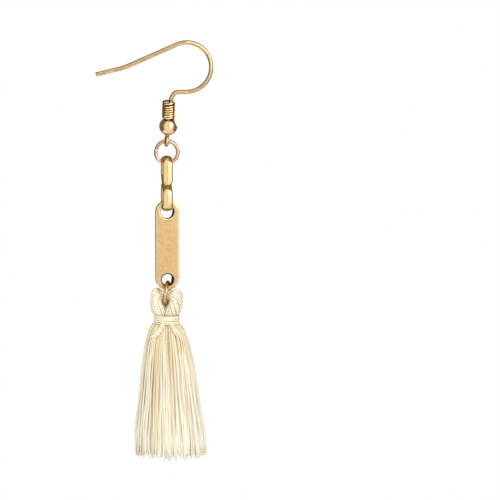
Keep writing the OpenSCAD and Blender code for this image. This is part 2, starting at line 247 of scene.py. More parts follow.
def carried(tree, key, out="Fac"):
    """A number or vector that the mesh carries."""
    return build(tree, "ShaderNodeAttribute", attribute_name=key, out=out)


def noise(tree, scale, detail, rough=0.6):
    """Noise in cycles per metre."""
    return build(tree, "ShaderNodeTexNoise", build(tree, "ShaderNodeTexCoord", out="Object"),
                 named={"Scale": scale, "Detail": detail, "Roughness": rough})


def bumped(tree, height, strength, distance, under=None):
    """A bump of a distance in metres, over another bump if one is given."""
    return build(tree, "ShaderNodeBump", named={
        "Strength": strength, "Distance": distance, "Height": height, "Normal": under})


# %% Seven plated metals
EDGE_TINT = srgb(170, 150, 112)
RIPPLE_DEEP, GRAIN_DEEP = 0.1 * MM, 0.02 * MM


def plated(name, light, dark, roughness, ripple, grain=0, ripple_scale=900, cloud_scale=420,
           marks=()):
    """Two shades in soft clouds, uneven gloss, ripple and fine grain. A mark is an attribute and
    the colour that the metal has where it is 1."""
    made, tree, shader = material(name)
    shader.inputs["Metallic"].default_value = 1.0
    shader.inputs["Specular Tint"].default_value = EDGE_TINT
    clouds = noise(tree, cloud_scale, 5, 0.62)
    colour = ramp(tree, clouds, [(0.34, srgb(*dark)), (0.60, srgb(*light))])
    # Each mark lays painted shade or a painted highlight over the base colour and over the edge tint.
    for key, tone in marks:
        colour = mixed(tree, carried(tree, key), colour, srgb(*tone))
        colour.into(shader.inputs["Specular Tint"])
    colour.into(shader.inputs["Base Color"])
    gloss = build(tree, "ShaderNodeMapRange", noise(tree, 1500, 4),
                  named={"To Min": roughness * 0.7, "To Max": roughness * 1.5})
    gloss.into(shader.inputs["Roughness"])
    wave = bumped(tree, noise(tree, ripple_scale, 2), ripple, RIPPLE_DEEP)
    if grain:
        wave = bumped(tree, noise(tree, 9000, 3, 0.7), grain, GRAIN_DEEP, wave)
    wave.into(shader.inputs["Normal"])
    return made


hook_gold = plated("hook_gold", (212, 184, 138), (182, 154, 108), 0.12, 0.10)
bead_gold = plated("bead_gold", (240, 206, 160), (214, 176, 128), 0.16, 0.50, ripple_scale=350)
ring_gold = plated("ring_gold", (212, 176, 148), (184, 146, 118), 0.20, 0.25)
low_ring_gold = plated("low_ring_gold", (228, 192, 140), (198, 158, 106), 0.18, 0.25)
link_gold = plated("link_gold", (232, 204, 154), (220, 184, 130), 0.20, 0.30, ripple_scale=600)
# The coil's dark mark is painted shade between its turns; the bar's pale mark is a painted highlight
# and its dark mark painted shade in the holes.
coil_gold = plated("coil_gold", (255, 224, 166), (246, 198, 138), 0.16, 0.15,
                   marks=[("painted_shade", (70, 38, 14))])
bar_gold = plated("bar_gold", (205, 173, 129), (192, 159, 113), 0.36, 0.12, 0.6, cloud_scale=1600,
                  marks=[("painted_highlight", (240, 222, 178)), ("painted_shade", (60, 36, 18))])

# %% Cotton
def cotton(name, light, dark, golden, groove):
    """Twisted cotton. The attribute shade runs from 0 to 1, one number for each thread. Outward is 1
    on the side that faces out of the bundle and less in the grooves between neighbours, which get a
    warm painted shade. Ply and run say where the two plies lie, and their valleys get painted shade."""
    made, tree, shader = material(name)

    def ranged(source, *ends):
        """A number carried from one range to another, or to 0 to 1."""
        return build(tree, "ShaderNodeMapRange", source, *ends)

    shades = ramp(tree, carried(tree, "shade"),
                  [(0.0, srgb(*golden)), (0.45, srgb(*dark)), (0.8, srgb(*light))])
    # The grooves between threads get the groove colour, a warm painted shade.
    outward = ranged(carried(tree, "outward"), 0.35, 0.9)
    deep = mixed(tree, outward, srgb(*groove), shades)
    across, up = (build(tree, "ShaderNodeSeparateXYZ", carried(tree, "ply", "Vector"), out=axis)
                  for axis in "XY")
    run = carried(tree, "run")
    ridge = across * run.cos() - up * run.sin()
    flecks = noise(tree, 6000, 4, 0.7)
    # Darker in the valleys between the plies, which is painted shade, and in small flecks of the
    # fibre.
    ply_shade_and_flecks = ranged(ridge, -1.0, 0.1, 0.70, 1.0) * ranged(flecks, 0.3, 0.6, 0.94, 1.0)
    mixed(tree, 1, deep, ply_shade_and_flecks, "MULTIPLY").into(shader.inputs["Base Color"])
    shader.inputs["Roughness"].default_value = 0.95
    shader.inputs["Specular IOR Level"].default_value = 0.15
    shader.inputs["Sheen Weight"].default_value = 0.4
    shader.inputs["Sheen Roughness"].default_value = 0.5
    bumped(tree, ridge + flecks, 0.7, 0.05 * MM).into(shader.inputs["Normal"])
    return made


# The last colour of each is the warm painted shade in the grooves between threads.
thread_cotton = cotton("thread_cotton", (235, 232, 216), (222, 211, 180), (212, 190, 140),
                       (222, 197, 142))
binding_thread = cotton("binding_thread", (240, 235, 210), (234, 225, 191), (220, 202, 156),
                        (206, 179, 124))
floor_paint, _, floor_shader = material("floor_paint")
floor_shader.inputs["Base Color"].default_value = (0.86, 0.86, 0.85, 1)
floor_shader.inputs["Roughness"].default_value = 0.9
floor_mesh.materials.append(floor_paint)

# %% [markdown]
# ## Wire and thread from lines
# Wire and thread are the same kind of shape: a line in space with a thickness. So each is kept as
# its centre line, and Geometry Nodes sweep a section along it. A tree has named inputs, so that one
# tree can make many pieces.

# %% Trees with named inputs
KINDS = {float: "NodeSocketFloat", int: "NodeSocketInt", type(None): "NodeSocketMaterial"}


def new_tree(name, **inputs):
    """A tree with named inputs. Gives the tree, its incoming shape and a dict of its inputs."""
    tree = bpy.data.node_groups.new(name, "GeometryNodeTree")
    tree.interface.new_socket("Geometry", in_out="INPUT", socket_type="NodeSocketGeometry")
    for key, value in inputs.items():
        socket = tree.interface.new_socket(key, in_out="INPUT", socket_type=KINDS[type(value)])
        if value is not None:
            socket.default_value = value
    tree.interface.new_socket("Geometry", in_out="OUTPUT", socket_type="NodeSocketGeometry")
    start = tree.nodes.new("NodeGroupInput")
    fields = {key: Field(tree, start.outputs[key]) for key in inputs}
    return tree, Field(tree, start.outputs[0]), fields


def close_tree(tree, shape, paint):
    """Ends a tree with real geometry, smooth faces and a material."""
    real = build(tree, "GeometryNodeRealizeInstances", shape)
    smooth = build(tree, "GeometryNodeSetShadeSmooth", real)
    painted = build(tree, "GeometryNodeSetMaterial", named={"Geometry": smooth, "Material": paint})
    painted.into(tree.nodes.new("NodeGroupOutput").inputs[0])


def in_metres(obj, place):
    """Puts a mesh that is in millimetres in its place, and prints its size."""
    obj.data.transform(Matrix.Scale(MM, 4) @ place)
    print(obj.name, "has", sum(len(p.vertices) - 2 for p in obj.data.polygons), "triangles")
    return obj


def grow(name, tree, start=None, place=Matrix.Identity(4), **values):
    """Runs a tree on a mesh and keeps the result as a plain mesh object."""
    obj = added(name, start or bpy.data.meshes.new(name))
    modifier = obj.modifiers.new(tree.name, "NODES")
    modifier.node_group = tree
    for item in tree.interface.items_tree:
        if item.in_out == "INPUT" and item.name in values:
            modifier[item.identifier] = values[item.name]
    evaluated = obj.evaluated_get(bpy.context.evaluated_depsgraph_get())
    mesh = bpy.data.meshes.new_from_object(evaluated)
    obj.modifiers.clear()
    obj.data = mesh
    mesh.name = name
    in_metres(obj, place)
    mesh.set_sharp_from_angle(angle=math.radians(50))
    return obj


# %% The tree for drawn wire
def told(tree, name, kind="FLOAT"):
    """Reads an attribute in a tree."""
    return build(tree, "GeometryNodeInputNamedAttribute", name, data_type=kind)


def circle(tree, sides, radius=1.0):
    """A round section, of radius 1 where the thickness of the line scales it."""
    return build(tree, "GeometryNodeCurvePrimitiveCircle",
                 named={"Resolution": sides, "Radius": radius})


def swept(tree, curve, section, scale=None):
    """A section pulled along a curve, with both ends closed."""
    return build(tree, "GeometryNodeCurveToMesh", named={
        "Curve": curve, "Profile Curve": section, "Scale": scale, "Fill Caps": True})


wire_tree, wire_line, given = new_tree("drawn_wire", Sides=24, Material=None)
curve = build(wire_tree, "GeometryNodeMeshToCurve", wire_line)
tube = swept(wire_tree, curve, circle(wire_tree, given["Sides"]), told(wire_tree, "thickness"))
close_tree(wire_tree, tube, given["Material"])

# %% [markdown]
# ## The ear wire
# One length of 0.7 mm wire is bent on a jig: a straight tip, a long leg, the big bend that hangs in
# the ear, a short level shelf, two tight bends down into the coil, and the stem. Below the bead the
# wire is filed a little thinner and curled into the eye. A list of feeds and bends says all of it
# except the eye, which is a circle that the stem runs into.

# %% Centre line of the ear wire
WIRE_R, EYE_WIRE_R, EYE_R = 0.35, 0.30, 0.72
CROWN_R, LEG_SLOPE, LEG_RUN, TIP_TURN, TIP_RUN = 4.1, 23, 8.9, 10, 4.2
KINK_R, LEAN = 0.8, math.radians(14)
FEEDS_AND_BENDS = [
    (TIP_RUN, 7, TIP_TURN),
    (LEG_RUN, CROWN_R, -180 - LEG_SLOPE),
    (1.5, KINK_R, 56),
    (0.5, KINK_R, 90 - 56 - 4.5),
]


def evenly(low, high, count):
    """Evenly spaced plain numbers, with both ends."""
    return np.linspace(low, high, count).tolist()


def walk(rows, point, heading, step=4.0):
    """Points (across, up, heading) along straight feeds and bends in one plane."""
    x, z, a = point[0], point[1], math.radians(heading)
    found = [(x, z, a)]
    for feed, radius, turn in rows:
        if feed:
            parts = max(1, round(feed / 0.7))
            for _ in range(parts):
                x, z = x + feed / parts * math.cos(a), z + feed / parts * math.sin(a)
                found.append((x, z, a))
        side = math.copysign(radius, turn)
        for _ in range(math.ceil(abs(turn) / step)):
            to = a + math.radians(turn) / math.ceil(abs(turn) / step)
            x, z = x + side * (math.sin(to) - math.sin(a)), z - side * (math.cos(to) - math.cos(a))
            a = to
            found.append((x, z, a))
    return found


# The big bend tops at the origin, so the walk starts as far from it as the leg reaches
slope = math.radians(LEG_SLOPE)
leg = walk([FEEDS_AND_BENDS[0], (LEG_RUN, 0, 0)], (0, 0), LEG_SLOPE - TIP_TURN)[-1]
wire_start = (-CROWN_R * math.sin(slope) - leg[0], -CROWN_R * (1 - math.cos(slope)) - leg[1])
flat = walk(FEEDS_AND_BENDS, wire_start, LEG_SLOPE - TIP_TURN)
heading = Vector((math.cos(flat[-1][2]), 0, math.sin(flat[-1][2])))
back = Vector((0, 1, 0))
bend_foot = Vector((flat[-1][0], 0, flat[-1][1]))
lean_bend = [bend_foot + KINK_R * (math.sin(a) * heading + (1 - math.cos(a)) * back)
             for a in evenly(0, LEAN, 5)[1:]]
stem_start = lean_bend[-1]
stem_down = math.cos(LEAN) * heading + math.sin(LEAN) * back
stem_back = math.cos(LEAN) * back - math.sin(LEAN) * heading

# Places along the stem, from the end of its last bend, and the angles on the eye
BEAD_AT, EYE_AT, CURL_AT = 4.558, 7.128, 6.058
CURL_REACH = 1.1
EYE_FROM, EYE_TO = math.radians(62), math.radians(360 - 39)
eye_at = stem_start + EYE_AT * stem_down
print("eye at", [round(c, 3) for c in eye_at])


def hermite(p, p_way, q, q_way, count):
    """A smooth line from p to q that leaves and arrives in the given ways."""
    t = np.linspace(0, 1, count)[:, None]
    p, q, p_way, q_way = (np.array(v, float) for v in (p, q, p_way, q_way))
    return ((2 * t**3 - 3 * t**2 + 1) * p + (t**3 - 2 * t**2 + t) * p_way
            + (3 * t**2 - 2 * t**3) * q + (t**3 - t**2) * q_way)


def on_eye(angle):
    """A point of the eye, from its top forwards and down."""
    return eye_at + EYE_R * (-math.cos(angle) * stem_down - math.sin(angle) * stem_back)


eye_way = math.sin(EYE_FROM) * stem_down - math.cos(EYE_FROM) * stem_back
stem_end = stem_start + CURL_AT * stem_down
stem = [stem_start + k * (stem_end - stem_start) for k in evenly(0, 1, 9)[1:]]
curl = hermite(stem_end, stem_down * CURL_REACH, on_eye(EYE_FROM), eye_way * CURL_REACH, 12)[1:]
loop = [on_eye(a) for a in evenly(EYE_FROM, EYE_TO, 44)[1:]]
wire_path = np.array([(x, 0, z) for x, z, _ in flat]
                     + [tuple(v) for v in (*lean_bend, *stem, *curl, *loop)])
thin = len(wire_path) - len(curl) - len(loop)
wire_width = np.full(len(wire_path), WIRE_R)
wire_width[thin:thin + len(curl)] = np.linspace(WIRE_R, EYE_WIRE_R, len(curl))
wire_width[thin + len(curl):] = EYE_WIRE_R
# Both ends are filed a little rounder
wire_path = np.insert(wire_path, 1, wire_path[0] + 0.08 * (wire_path[1] - wire_path[0]), axis=0)
wire_width = np.insert(wire_width, 1, WIRE_R - 0.02)
wire_width[0], wire_width[-1] = WIRE_R - 0.07, EYE_WIRE_R - 0.05

# %% Bend the ear wire
def lines(name, paths, thickness, shade=None, away=None):
    """Centre lines as one mesh of edges. Each point has a thickness and the way out of its bundle,
    and each line has a shade."""
    points = np.concatenate(paths)
    edges, first = [], 0
    for path in paths:
        edges += [(first + i, first + i + 1) for i in range(len(path) - 1)]
        first += len(path)
    mesh = bpy.data.meshes.new(name)
    mesh.from_pydata(points.tolist(), edges, [])
    width = mesh.attributes.new("thickness", "FLOAT", "POINT")
    width.data.foreach_set("value", np.broadcast_to(thickness, len(points)).astype(np.float32))
    if shade is not None:
        tone = mesh.attributes.new("shade", "FLOAT", "POINT")
        tones = np.repeat(shade, [len(path) for path in paths])
        tone.data.foreach_set("value", tones.astype(np.float32))
        out = mesh.attributes.new("away", "FLOAT_VECTOR", "POINT")
        out.data.foreach_set("vector", np.concatenate(away).astype(np.float32).ravel())
    return mesh


def keep(obj, body, slot, *nodes):
    """Hangs a finished piece on its body and hides the imported parts that it stands for."""
    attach(obj, body)
    if nodes:
        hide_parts(*nodes)


ear_wire = grow("ear_wire", wire_tree, lines("ear_wire_line", [wire_path], wire_width),
                Sides=32, Material=hook_gold)
keep(ear_wire, "hook", "hook_metal", "ear_hook")

# %% [markdown]
# ## Coil and bead
# A finer wire is wound seven times round a rod and slipped over the stem, and the bead below it
# keeps it in place. The helix is a rule, so Geometry Nodes lay its points: the angle grows along the
# line, and the height grows with the angle. The bead is turned, so it is a profile spun round.

# %% Wind the coil
def straight(tree, end, points):
    """A straight line up or down to a height, with a number of points."""
    line = build(tree, "GeometryNodeCurvePrimitiveLine", named={"End": (0, 0, end)})
    return build(tree, "GeometryNodeResampleCurve", named={"Curve": line, "Count": points})


def noted(tree, shape, name, value, kind="FLOAT"):
    """Writes an attribute on the points of a shape."""
    return build(tree, "GeometryNodeStoreNamedAttribute", data_type=kind, domain="POINT",
                 named={"Geometry": shape, "Name": name, "Value": value})


def facing_out(tree):
    """How far each point of a swept mesh faces out of its bundle, from -1 to 1."""
    return build(tree, "ShaderNodeVectorMath", build(tree, "GeometryNodeInputNormal"),
                 told(tree, "away", "FLOAT_VECTOR"), operation="DOT_PRODUCT")


coil_tree, _, given = new_tree("wound_coil", Turns=7.0, Radius=0.95, Pitch=0.41, Wire=0.15,
                               Start=-40.0, Points=300, Sides=14, Lift=0.2, Material=None)
share = build(coil_tree, "GeometryNodeSplineParameter")
turned = share * given["Turns"]
angle = turned * (2 * math.pi) + given["Start"] * (math.pi / 180)
out_way = build(coil_tree, "ShaderNodeCombineXYZ", angle.cos(), angle.sin())
line = noted(coil_tree, straight(coil_tree, 1, given["Points"]), "away", out_way, "FLOAT_VECTOR")
last_turn = (turned - given["Turns"] + 0.9).math("MAXIMUM", 0)
spot = build(coil_tree, "ShaderNodeCombineXYZ", angle.cos() * given["Radius"],
             angle.sin() * given["Radius"],
             turned * given["Pitch"] + last_turn * given["Lift"])
helix = build(coil_tree, "GeometryNodeSetPosition", named={"Geometry": line, "Position": spot})
wound = swept(coil_tree, helix, circle(coil_tree, given["Sides"], given["Wire"]))
# Faces that turn in, towards the stem and towards the next turn, get painted shade.
painted_shade = build(coil_tree, "ShaderNodeMapRange", facing_out(coil_tree),
                named={"From Min": 0.74, "From Max": 0.42})
close_tree(coil_tree, noted(coil_tree, wound, "painted_shade", painted_shade), given["Material"])


def on_stem(along):
    """A frame on the stem: Z up along it, Y to the back."""
    up, y = -stem_down, stem_back
    frame_at = Matrix((y.cross(up), y, up)).transposed().to_4x4()
    frame_at.translation = stem_start + along * stem_down
    return frame_at


# The coil is wider than the stem, so it sits a little askew on the bead
COIL_SEAT, COIL_LEAN, COIL_ASIDE, COIL_TILT = 1.46, math.radians(20), -0.13, 0.035
coil_up = math.cos(COIL_LEAN) * Vector((0, 0, 1)) - math.sin(COIL_LEAN) * level
coil_up = (coil_up + COIL_TILT * right).normalized()
coil_back = math.cos(COIL_LEAN) * level + math.sin(COIL_LEAN) * Vector((0, 0, 1))
askew = Matrix((coil_back.cross(coil_up), coil_back, coil_up)).transposed().to_4x4()
askew.translation = stem_start + (BEAD_AT - COIL_SEAT) * stem_down + COIL_ASIDE * right
coil = grow("hook_coil_wire", coil_tree, place=askew, Material=coil_gold)
keep(coil, "hook", "coil_metal", "hook_coil")


# %% Turn the bead
def shown(name, mesh, paint, place=Matrix.Identity(4)):
    """A mesh as a smooth object with a material."""
    mesh.materials.append(paint)
    mesh.shade_smooth()
    return in_metres(added(name, mesh), place)


def spun(name, profile, sides, place, paint):
    """A closed outline of (radius, height) points spun round Z."""
    angles = np.linspace(0, 2 * math.pi, sides, endpoint=False)
    rings = [[(r * math.cos(a), r * math.sin(a), z) for r, z in profile] for a in angles]
    count = len(profile)
    faces = [(s * count + k, ((s + 1) % sides) * count + k,
              ((s + 1) % sides) * count + (k + 1) % count, s * count + (k + 1) % count)
             for s in range(sides) for k in range(count)]
    mesh = bpy.data.meshes.new(name)
    mesh.from_pydata([p for ring in rings for p in ring], [], faces)
    return shown(name, mesh, paint, place)


BEAD_R, BORE_R, LIP = 1.5, 0.42, 0.08
rim = math.asin((BORE_R + LIP) / BEAD_R)
outer = [(BEAD_R * math.sin(a), -BEAD_R * math.cos(a)) for a in np.linspace(rim, math.pi - rim, 49)]
mouth_z = BEAD_R * math.cos(rim)
lip = [(BORE_R + LIP * (1 - math.sin(a)), mouth_z - LIP * (1 - math.cos(a)) - 0.02)
       for a in np.linspace(0.25, math.pi / 2, 5)]
inner = lip + [(r, -z) for r, z in reversed(lip)]
bead = spun("bead", outer + inner, 72, on_stem(BEAD_AT), bead_gold)
keep(bead, "hook", "bead_metal", "hook_bead")

# %% [markdown]
# ## Jump rings
# Each ring is a turn of wire sawn from a coil and closed with pliers, so its two cut ends meet with
# a hair of a gap and never quite in line. The upper ring is seen flat on, with its cut on the left.
# The lower one is seen from its edge, with the cut at the front, and its ends are further apart.

# %% Close the rings
RING_R, RING_WIRE_R = 1.85, 0.30
DROP_X, DROP_Y = eye_at.x, eye_at.y
UPPER_RING_Z, LOWER_RING_Z = -18.3596, -42.0595
LOWER_TURN = math.radians(74)


def ring_line(z, turn, cut_at, gap, step):
    """The centre line of a cut ring. Step is how far its two ends stand apart sideways."""
    half = math.degrees(gap / 2 / RING_R)
    across = Vector((math.cos(turn), math.sin(turn), 0))
    axis = Vector((math.sin(turn), -math.cos(turn), 0))
    found = []
    for s in evenly(0, 1, 90):
        a = math.radians(cut_at + half + s * (360 - 2 * half))
        found.append(Vector((DROP_X, DROP_Y, z)) + RING_R * (
            math.cos(a) * across + math.sin(a) * Vector((0, 0, 1))) + (s - 0.5) * step * axis)
    return np.array([tuple(p) for p in found])


def ring_piece(name, body, node, paint, *values):
    """Sweeps a ring with eased ends and hangs it on its body."""
    path = ring_line(*values)
    width = np.full(len(path), RING_WIRE_R)
    width[0] = width[-1] = RING_WIRE_R - 0.05
    made = grow(name, wire_tree, lines(name + "_line", [path], width), Sides=24, Material=paint)
    keep(made, body, "ring_metal", node)


ring_piece("jump_ring_upper", "upper_ring", "upper_ring", ring_gold,
           UPPER_RING_Z, 0.0, 166, 0.10, 0.10)
ring_piece("jump_ring_lower", "tassel", "lower_ring", low_ring_gold,
           LOWER_RING_Z, LOWER_TURN, 172, 0.08, 0.26)

# %% [markdown]
# ## The S link
# A strip with rounded edges is bent into an S, and its two rounded tips close on the strand that
# crosses between them. Its outline from the side is again a list of feeds and bends. The section is
# a flat oval that narrows to a round tip, so the strip is skinned ring by ring.

# %% Bend and skin the S link
LINK_Z, LINK_HALF_W, LINK_HALF_T = -23.5763, 0.85, 0.425
LOOP_R, LOOP_Z, CROSS_R, TIP_GAP = 1.3, 2.925, 0.8, 0.05
sine = math.sin(math.radians(45))
cross_run = (LOOP_R - CROSS_R * (1 - sine)) / sine
strand_low = (cross_run + CROSS_R) * sine
tip_low = (LINK_HALF_T + TIP_GAP) / sine - (LOOP_R - LINK_HALF_T)
half_link = walk([(cross_run, CROSS_R, 45), (LOOP_Z - strand_low, LOOP_R, 180),
                  (LOOP_Z - tip_low, 0, 0)], (0, 0), 45, 6)


def link_ring(u, v, way, distance, exponent=0.84, crown=0.22):
    """One oval of the strip. Distance is how far the tip is away along the strip."""
    narrow = min(1.0, distance / LINK_HALF_W)
    a = LINK_HALF_W * math.sqrt(max(0.0, 1 - (1 - narrow) ** 2))
    flat_end = min(1.0, 2 * distance / LINK_HALF_T)
    b = LINK_HALF_T * max(0.0, 1 - (1 - flat_end) ** 2) ** 0.5
    ring = []
    for t in np.linspace(0, 2 * math.pi, 40, endpoint=False):
        c, s = math.cos(t), math.sin(t)
        wide = math.copysign(abs(c) ** exponent, c) * a
        thick = math.copysign(abs(s) ** exponent, s) * b * (1 - crown * abs(c) ** exponent)
        ring.append((DROP_X - wide, DROP_Y + u - thick * math.sin(way),
                     LINK_Z + v + thick * math.cos(way)))
    return ring


def lofted(name, rings, paint):
    """A closed skin over rings of points, with both ends filled."""
    count = len(rings[0])
    points = [p for ring in rings for p in ring]
    faces = [(i * count + k, i * count + (k + 1) % count,
              (i + 1) * count + (k + 1) % count, (i + 1) * count + k)
             for i in range(len(rings) - 1) for k in range(count)]
    faces += [tuple(range(count - 1, -1, -1)), tuple(range(len(points) - count, len(points)))]
    mesh = bpy.data.meshes.new(name)
    mesh.from_pydata(points, [], faces)
    shape = bmesh.new()
    shape.from_mesh(mesh)
    bmesh.ops.remove_doubles(shape, verts=shape.verts, dist=1e-4)
    bmesh.ops.recalc_face_normals(shape, faces=shape.faces)
    shape.to_mesh(mesh)
    shape.free()
    return shown(name, mesh, paint)


spacing = [math.dist(p[:2], q[:2]) for p, q in zip(half_link, half_link[1:])]
to_tip = [sum(spacing[i:]) for i in range(len(half_link))]
strip = list(zip(half_link, to_tip))
fine_tip = [((half_link[-1][0], half_link[-1][1] + d, half_link[-1][2]), d)
            for d in (0.75, 0.6, 0.45, 0.32, 0.2, 0.1, 0.04, 0.005)]
strip = [item for item in strip if item[1] > LINK_HALF_W] + fine_tip
lower = [((-u, -v, way), d) for (u, v, way), d in reversed(strip[1:])]
rings = [link_ring(u, v, way + math.pi, d) for (u, v, way), d in lower]
rings += [link_ring(u, v, way + math.pi, d) for (u, v, way), d in strip]
link = lofted("s_link_band", rings, link_gold)
keep(link, "s_link", "link_metal", "s_link")

# %% [markdown]
# ## The bar
# The bar is stamped from 1 mm strip, drilled at both ends and tumbled, which rounds all its edges and
# leaves a satin face. A flat face with two holes is filled between its outlines, pushed to its
# thickness, and then the sharp rims get a rounded bevel, as the tumbling drum gives them.

# %% Stamp, drill and tumble the bar
BAR_HALF_W, BAR_HALF_T, BAR_LOW, BAR_PITCH = 1.975, 0.525, -39.5012, 11.1
BAR_HOLES = [(BAR_LOW - 0.22, 0.93), (BAR_LOW + BAR_PITCH + 0.12, 1.13)]
# Painted shade and painted highlight of each hole at four shares of the way over its rounded rim to
# the face
RIM_SHARES = (0, 0.2, 0.7, 1)
HOLE_DARK = [(0.6, 1, 1, 0), (0.8, 0.3, 0, 0)]
HOLE_PALE = [(0, 0, 0, 0), (0, 0.6, 1, 0)]
HOLE_TAPER, BAR_BEVEL, SHARP_FROM = 0.2, 0.24, math.radians(69)


def bar_outlines():
    """The outline of the bar and of its two holes, as lists of (across, up)."""
    half = [math.radians(a) for a in np.linspace(0, 180, 57)]
    high = BAR_LOW + BAR_PITCH
    outside = [(BAR_HALF_W * math.cos(a), high + BAR_HALF_W * math.sin(a)) for a in half]
    outside += [(-BAR_HALF_W * math.cos(a), BAR_LOW - BAR_HALF_W * math.sin(a)) for a in half]
    holes = [[(r * math.cos(a), z + r * math.sin(a))
              for a in np.linspace(0, 2 * math.pi, 72, endpoint=False)] for z, r in BAR_HOLES]
    return [outside] + holes


shape = bmesh.new()
rims = []
for outline in bar_outlines():
    verts = [shape.verts.new((DROP_X + x, DROP_Y - BAR_HALF_T, z)) for x, z in outline]
    rims += [shape.edges.new((a, b)) for a, b in zip(verts, verts[1:] + verts[:1])]
filled = bmesh.ops.triangle_fill(shape, use_beauty=True, edges=rims)
front = [f for f in filled["geom"] if isinstance(f, bmesh.types.BMFace)]
pushed = bmesh.ops.extrude_face_region(shape, geom=front, use_keep_orig=True)
moved = [v for v in pushed["geom"] if isinstance(v, bmesh.types.BMVert)]
bmesh.ops.translate(shape, verts=moved, vec=(0, 2 * BAR_HALF_T, 0))
bmesh.ops.recalc_face_normals(shape, faces=shape.faces)
sharp = [e for e in shape.edges if len(e.link_faces) == 2 and e.calc_face_angle() > SHARP_FROM]
bmesh.ops.bevel(shape, geom=sharp, offset=BAR_BEVEL, segments=5, profile=0.5, affect="EDGES")
mesh = bpy.data.meshes.new("bar_plate")
shape.to_mesh(mesh)
shape.free()
# A painted highlight on the outer rims and on the upper hole's rim, and painted shade down the walls
# of both holes.
painted_shade = mesh.attributes.new("painted_shade", "FLOAT", "POINT")
painted_highlight = mesh.attributes.new("painted_highlight", "FLOAT", "POINT")
for vert in mesh.vertices:
    x = vert.co.x - DROP_X
    past_end = vert.co.z - np.clip(vert.co.z, BAR_LOW, BAR_LOW + BAR_PITCH)
    from_edge = (BAR_HALF_W - math.hypot(x, past_end)) / BAR_BEVEL
    painted_highlight.data[vert.index].value = np.interp(from_edge, RIM_SHARES, (0.5, 1, 1, 0))
    for (z, radius), dark, pale in zip(BAR_HOLES, HOLE_DARK, HOLE_PALE):
        up = vert.co.z - z
        far = math.hypot(x, up)
        away = (far - radius) / BAR_BEVEL
        if away < 1:
            painted_shade.data[vert.index].value = np.interp(away, RIM_SHARES, dark)
            painted_highlight.data[vert.index].value = np.interp(away, RIM_SHARES, pale)
        if away < 1.05 and vert.co.y > DROP_Y:
            vert.co.x -= HOLE_TAPER * max(0, x / far) ** 2 * min(1, 1 - up / far)
bar = shown("bar_plate", mesh, bar_gold)
weighted = bar.modifiers.new("faces_first", "WEIGHTED_NORMAL")
weighted.keep_sharp = True
weighted.weight = 80
keep(bar, "bar", "bar_metal", "bar")

# %% [markdown]
# ## Twisted thread
# The tassel is several hundred lengths of two-ply cotton. The two plies turn about each other, which
# gives the rope pattern. The sweep notes on each thread how far round and how far along every point
# lies, and the cotton turns these two numbers into ridges, with painted shade in their valleys. Where
# threads touch, their inward sides get a warm painted shade, so the sweep also notes which way is out
# of the bundle.

# %% The tree that twists a thread along each line
def thread_on(tree, curve, thread, sides, paint, pitch, phase, painted_side_light=0.0):
    """Sweeps threads along curves, and notes where the two plies lie and which way is outward.
    The last argument adds painted light to the sides of the threads."""
    twice_round = build(tree, "GeometryNodeSplineParameter") * (4 * math.pi)
    plies = build(tree, "ShaderNodeCombineXYZ", twice_round.cos(), twice_round.sin())
    section = noted(tree, circle(tree, sides), "ply", plies, "FLOAT_VECTOR")
    run = build(tree, "GeometryNodeSplineParameter", out="Length") / pitch * (4 * math.pi) + phase
    curve = noted(tree, noted(tree, curve, "run", run), "painted_side_light", painted_side_light)
    threads = swept(tree, curve, section, thread)
    outward = facing_out(tree) + told(tree, "painted_side_light")
    close_tree(tree, noted(tree, threads, "outward", outward), paint)


thread_tree, thread_line, given = new_tree("laid_thread", Sides=8, Pitch=1.0, Material=None)
curve = build(thread_tree, "GeometryNodeMeshToCurve", thread_line)
thread_on(thread_tree, curve, told(thread_tree, "thickness"), given["Sides"], given["Material"],
          given["Pitch"], told(thread_tree, "shade") * 40)


def smooth(points, count):
    """A Catmull-Rom line through rows of numbers, with count rows."""
    p = np.vstack([2 * points[0] - points[1], points, 2 * points[-1] - points[-2]])
    at = np.linspace(0, len(points) - 1, count)
    i = np.minimum(at.astype(int), len(points) - 2)
    t = (at - i)[:, None]
    a, b, c, d = p[i], p[i + 1], p[i + 2], p[i + 3]
    return 0.5 * (2 * b + (c - a) * t + (2 * a - 5 * b + 4 * c - d) * t**2
                  + (3 * b - a - 3 * c + d) * t**3)


# %% [markdown]
# ## The folded head
# The maker lays the threads through the jump ring, folds them down on both sides and binds them
# below it. Each thread therefore climbs out of the neck on the left, bulges, dips through the ring
# and comes down on the right. The bundle is given by its inner and its outer edge along that way,
# and each thread keeps its own place round the bundle, with a slow twist that makes the threads of
# the right side fan out.

# %% Lay the threads of the head
HEAD_H, HEAD_HALF_W, HEAD_HALF_D = 4.5, 2.75, 2.1
TASSEL_X = DROP_X - 0.12
NECK_TOP, NECK_LOW = -45.5762, -47.3262
HEAD_THREAD_R = 0.16
# Number of threads and their depth in the bundle, from its skin inwards
HEAD_LAYERS = ((26, 1.0), (26, 0.85), (20, 0.5), (8, 0.2))
HEAD_TURN = math.radians(-16)
HEAD_FAN = math.radians(100)
FOLD = (0, 2.0667, 0, 3.95, 0.5 * HEAD_HALF_D)
